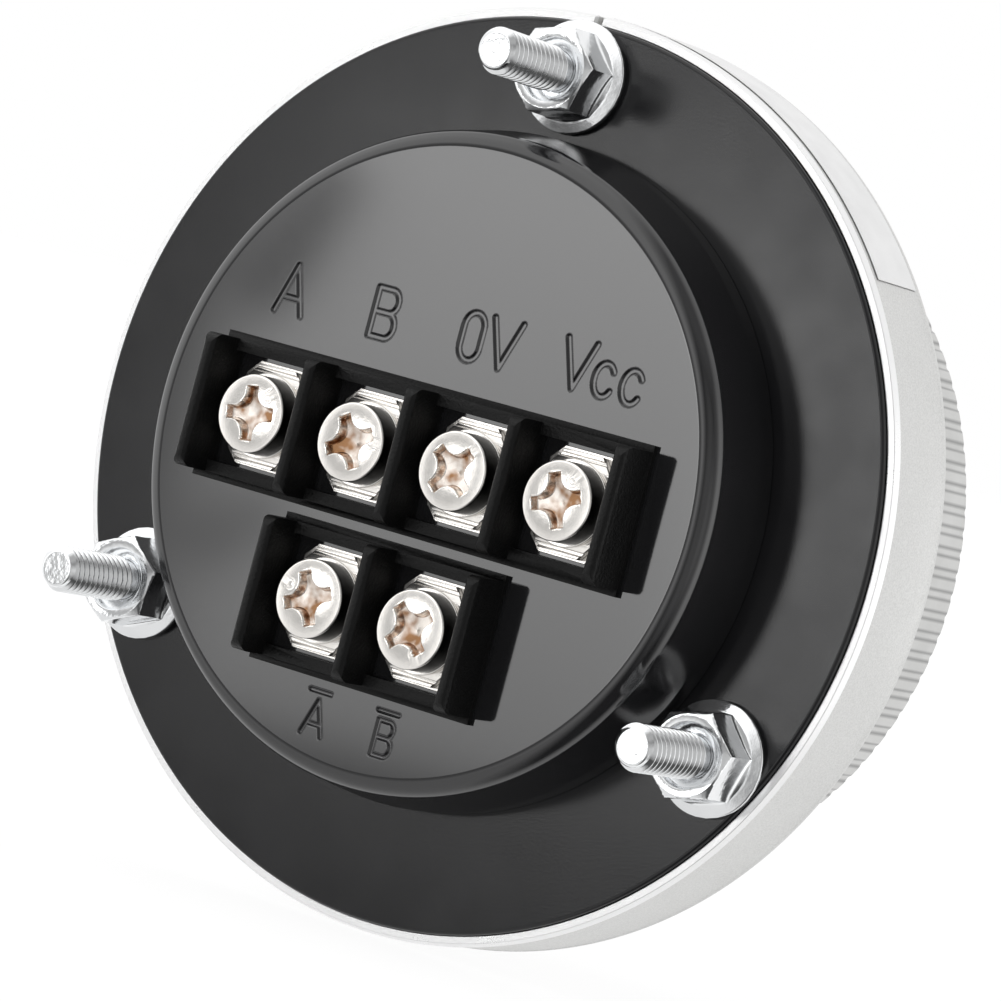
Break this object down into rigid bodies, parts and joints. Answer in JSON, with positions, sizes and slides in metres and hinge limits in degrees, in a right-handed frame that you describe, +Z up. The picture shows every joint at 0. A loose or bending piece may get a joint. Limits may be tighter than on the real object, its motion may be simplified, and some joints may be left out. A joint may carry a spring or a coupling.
{
  "type": "pulse generator handwheel",
  "caption": "Panel-mounted manual pulse generator: a knurled handwheel with a crank knob on a round flange with rear studs, nuts and screw terminals.",
  "frame": {"origin": "on the wheel's axis, at the panel face: where the gasket's rear face meets the panel", "axes": "+Y along the wheel's axis towards the rear (studs and terminals), -Y towards the operator (wheel and crank knob), +Z up, +X to the right as the operator sees it"},
  "size_m": [0.08, 0.0675, 0.0801],
  "materials": {
    "cast_flange": "fine bead-blasted, satin",
    "wheel_metal": "satin turned",
    "foil": "smooth satin foil",
    "seal_rubber": "soft sheen",
    "felt": "felt",
    "gloss_black": "gloss",
    "strip_black": "fine matte",
    "knob_black": "satin gloss",
    "dial_black": "satin anodised",
    "nickel": "bright nickel plate",
    "zinc": "bright zinc plate",
    "steel": "turned",
    "bearing_steel": "ground and polished",
    "soft_iron": "blackened",
    "magnet": "fired ceramic",
    "brass": "turned",
    "bronze": "sintered",
    "board_green": "solder resist",
    "component_black": "moulded",
    "ceramic": "fired ceramic"
  },
  "bodies": {
    "housing": {"flange_ring": "cast_flange", "felt_seal": "felt", "gasket": "seal_rubber", "rear_cover": "gloss_black", "cover_screws": "steel", "studs": "zinc", "flange_nuts": "zinc", "upper_terminal_block": "strip_black", "lower_terminal_block": "strip_black", "upper_terminal_plates": "nickel", "lower_terminal_plates": "nickel", "upper_clamp_washers": "nickel", "lower_clamp_washers": "nickel", "upper_head_washers": "nickel", "lower_head_washers": "nickel", "upper_terminal_screws": "nickel", "lower_terminal_screws": "nickel", "circuit_board": "board_green", "board_standoffs": "brass", "board_screws": "steel", "photo_sensor": "component_black", "line_driver_chip": "component_black", "board_capacitors": "ceramic", "front_bearing_outer": "bearing_steel", "rear_bearing_outer": "bearing_steel", "outer_race_spacer": "bronze", "bearing_circlip": "steel", "detent_bracket": "brass", "detent_magnet": "magnet", "detent_pole_shoes": "soft_iron", "detent_screws": "steel", "side_label": "foil", "index_mark": "dial_black"},
    "handwheel": {"handwheel": "wheel_metal", "dial_plate": "dial_black", "hub_cap": "knob_black", "wheel_nut": "steel", "wheel_washer": "steel", "shaft": "steel", "front_bearing_inner": "bearing_steel", "rear_bearing_inner": "bearing_steel", "inner_race_spacer": "bronze", "shaft_circlip": "steel", "detent_ring": "soft_iron", "disc_hub": "brass", "code_disc": "steel", "disc_clamp_ring": "brass", "crank_pin": "steel", "knob_retainer": "steel"},
    "crank": {"crank_knob": "knob_black", "knob_bush": "bronze", "knob_cap": "knob_black"},
    "front_ball_set": {"front_bearing_balls": "bearing_steel", "front_bearing_cage": "brass"},
    "rear_ball_set": {"rear_bearing_balls": "bearing_steel", "rear_bearing_cage": "brass"}
  },
  "joints": [
    {"name": "wheel_spin", "type": "hinge", "parent": "housing", "child": "handwheel", "pos_m": [0, 0, 0], "axis": [0, 1, 0], "continuous": true},
    {"name": "crank_spin", "type": "hinge", "parent": "handwheel", "child": "crank", "pos_m": [0.01578, -0.04, 0.01324], "axis": [0, 1, 0], "continuous": true},
    {"name": "front_ball_set_spin", "type": "hinge", "parent": "housing", "child": "front_ball_set", "pos_m": [0, 0, 0], "axis": [0, 1, 0], "continuous": true},
    {"name": "rear_ball_set_spin", "type": "hinge", "parent": "housing", "child": "rear_ball_set", "pos_m": [0, 0, 0], "axis": [0, 1, 0], "continuous": true}
  ],
  "couplings": [
    {"joint": "front_ball_set_spin", "follows": "wheel_spin", "ratio": 0.41667},
    {"joint": "rear_ball_set_spin", "follows": "wheel_spin", "ratio": 0.41667}
  ]
}
